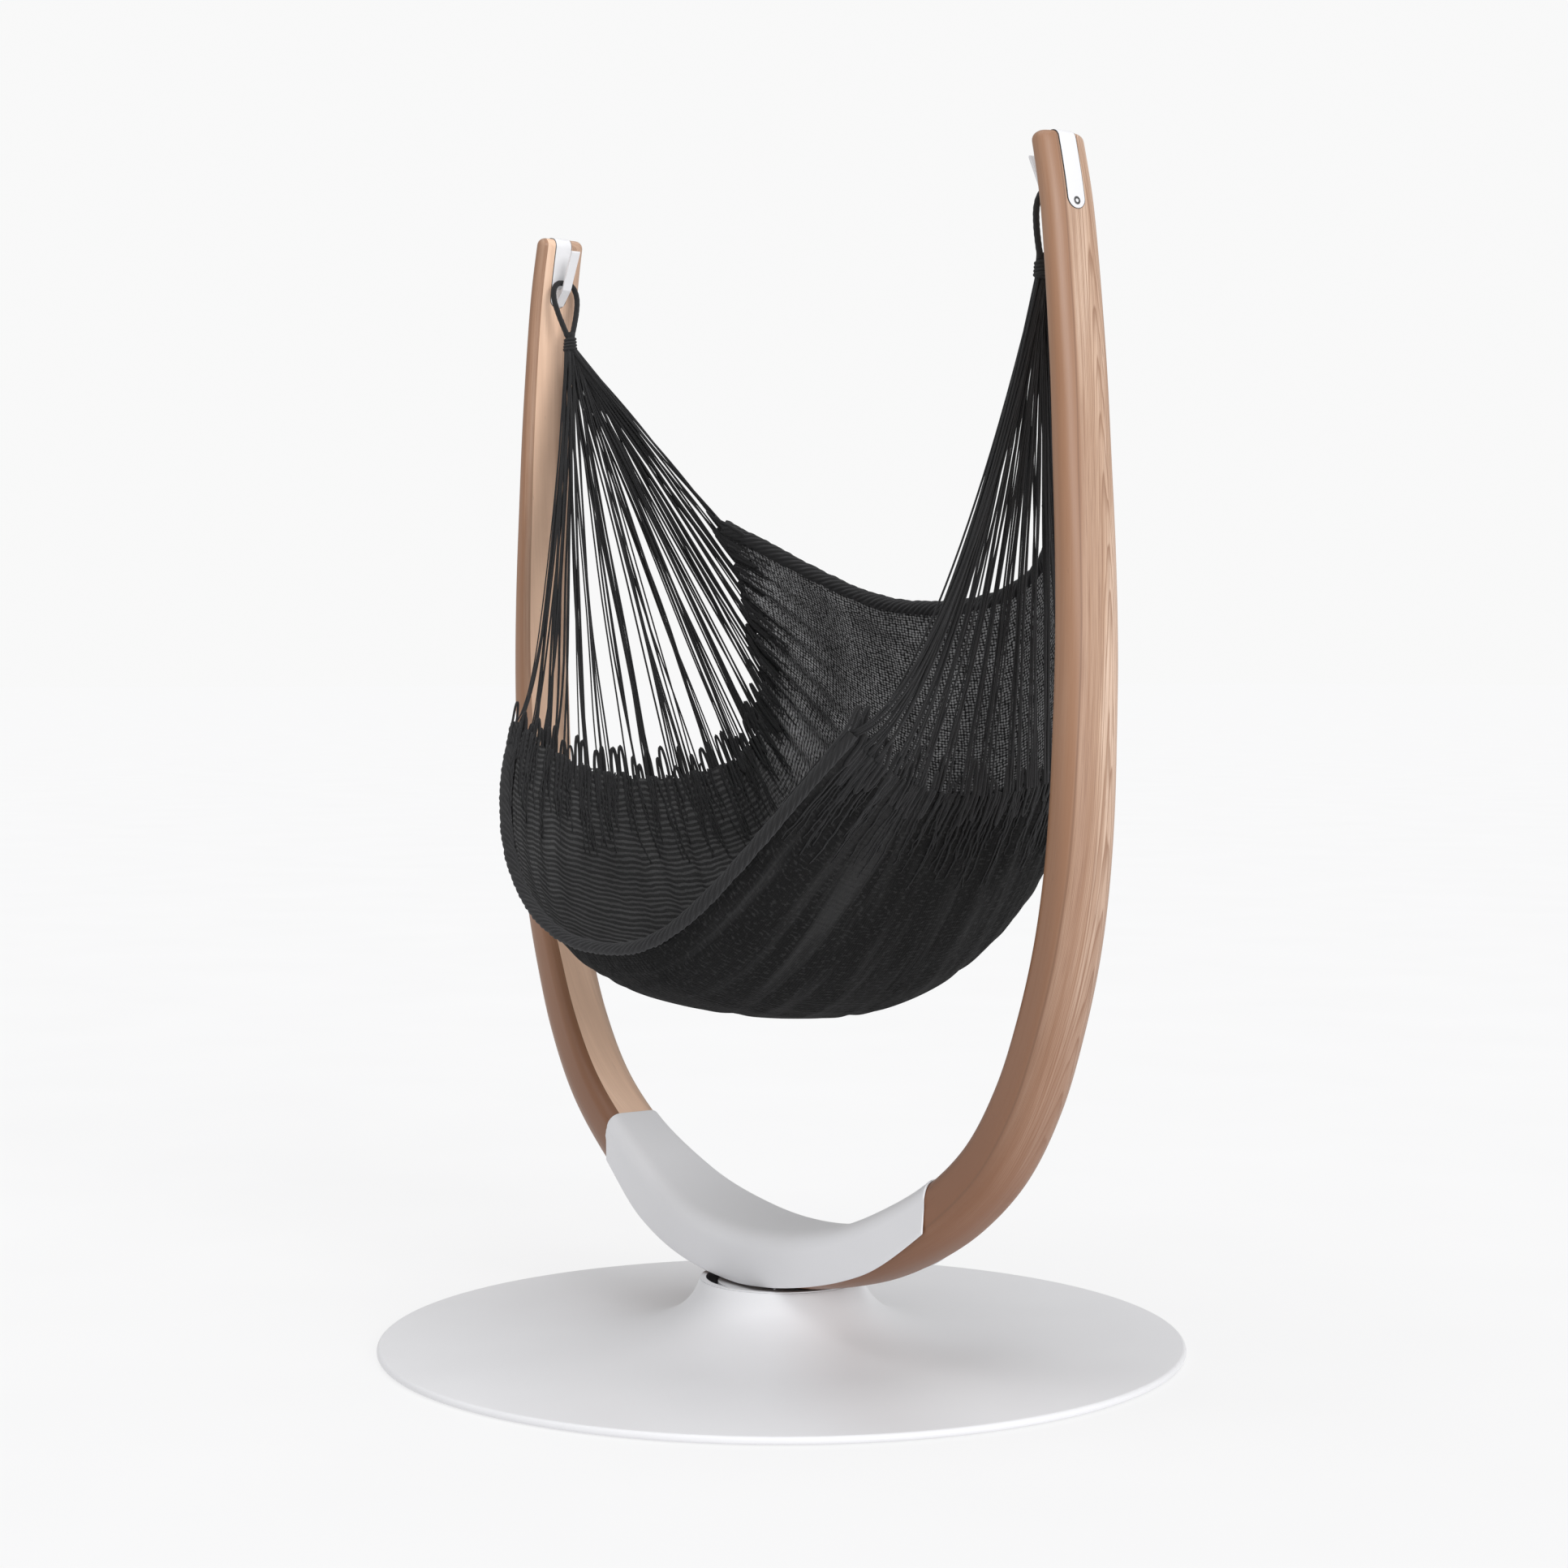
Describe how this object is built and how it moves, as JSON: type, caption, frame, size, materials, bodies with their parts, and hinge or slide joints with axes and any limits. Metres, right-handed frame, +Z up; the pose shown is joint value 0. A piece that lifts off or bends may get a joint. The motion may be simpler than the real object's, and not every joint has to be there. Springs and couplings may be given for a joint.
{
  "type": "hammock on stand",
  "caption": "Hanging hammock chair of black cord in a bentwood U-frame that swivels on a round steel floor base.",
  "frame": {"origin": "on the floor, on the swivel axis, under the middle of the U-frame", "axes": "+Z up, +X towards one arm of the U-frame, -Y the way the sitter faces"},
  "size_m": [1.4002, 1.1998, 1.7245],
  "materials": {
    "white_paint": "satin powder coat, cool light grey white",
    "bent_wood": "oiled light brown hardwood, fine lengthwise grain",
    "plain_steel": "bare satin steel",
    "zinc_steel": "zinc plated steel",
    "rubber": "matte black rubber",
    "black_cord": "matte black twisted cotton and polyester cord",
    "black_weave": "matte charcoal black sprang weave with fine ribs"
  },
  "bodies": {
    "base": {"base_dish": "white_paint", "ballast_plate": "plain_steel", "floor_ring": "rubber", "swivel_pedestal": "plain_steel", "pedestal_bolt_1": "zinc_steel", "pedestal_bolt_2": "zinc_steel", "pedestal_bolt_3": "zinc_steel", "pedestal_bolt_4": "zinc_steel", "lower_bearing_race": "plain_steel", "neck_seal": "rubber"},
    "ball_cage": {"bearing_ball_ring": "zinc_steel"},
    "frame": {"arm_left": "bent_wood", "arm_right": "bent_wood", "saddle_cover": "white_paint", "spine_bar": "plain_steel", "spine_bolt_1": "zinc_steel", "spine_bolt_2": "zinc_steel", "spine_bolt_3": "zinc_steel", "spine_bolt_4": "zinc_steel", "hub_plate": "plain_steel", "hub_screw_1": "zinc_steel", "hub_screw_2": "zinc_steel", "hub_screw_3": "zinc_steel", "hub_screw_4": "zinc_steel", "upper_bearing_race": "plain_steel", "spindle": "plain_steel", "spindle_washer": "zinc_steel", "spindle_nut": "zinc_steel", "tip_strap_left": "white_paint", "tip_strap_right": "white_paint", "hook_left": "white_paint", "hook_right": "white_paint", "hook_bolt_left": "zinc_steel", "hook_bolt_right": "zinc_steel"},
    "hammock": {"hang_loop_left": "black_cord", "hang_loop_right": "black_cord", "end_wrap_left": "black_cord", "end_wrap_right": "black_cord", "string_fan_left": "black_cord", "string_fan_right": "black_cord", "end_cord_left": "black_cord", "end_cord_right": "black_cord", "seat_weave": "black_weave", "front_rim": "black_cord", "back_rim": "black_cord"}
  },
  "joints": [
    {"name": "swivel", "type": "hinge", "parent": "base", "child": "frame", "pos_m": [0, 0, 0], "axis": [0, 0, 1], "continuous": true},
    {"name": "cage_turn", "type": "hinge", "parent": "base", "child": "ball_cage", "pos_m": [0, 0, 0], "axis": [0, 0, 1], "continuous": true},
    {"name": "swing", "type": "hinge", "parent": "frame", "child": "hammock", "pos_m": [0, 0, 1.648], "axis": [1, 0, 0], "range_deg": [-15, 15]}
  ],
  "couplings": [
    {"joint": "cage_turn", "follows": "swivel", "ratio": 0.5}
  ]
}
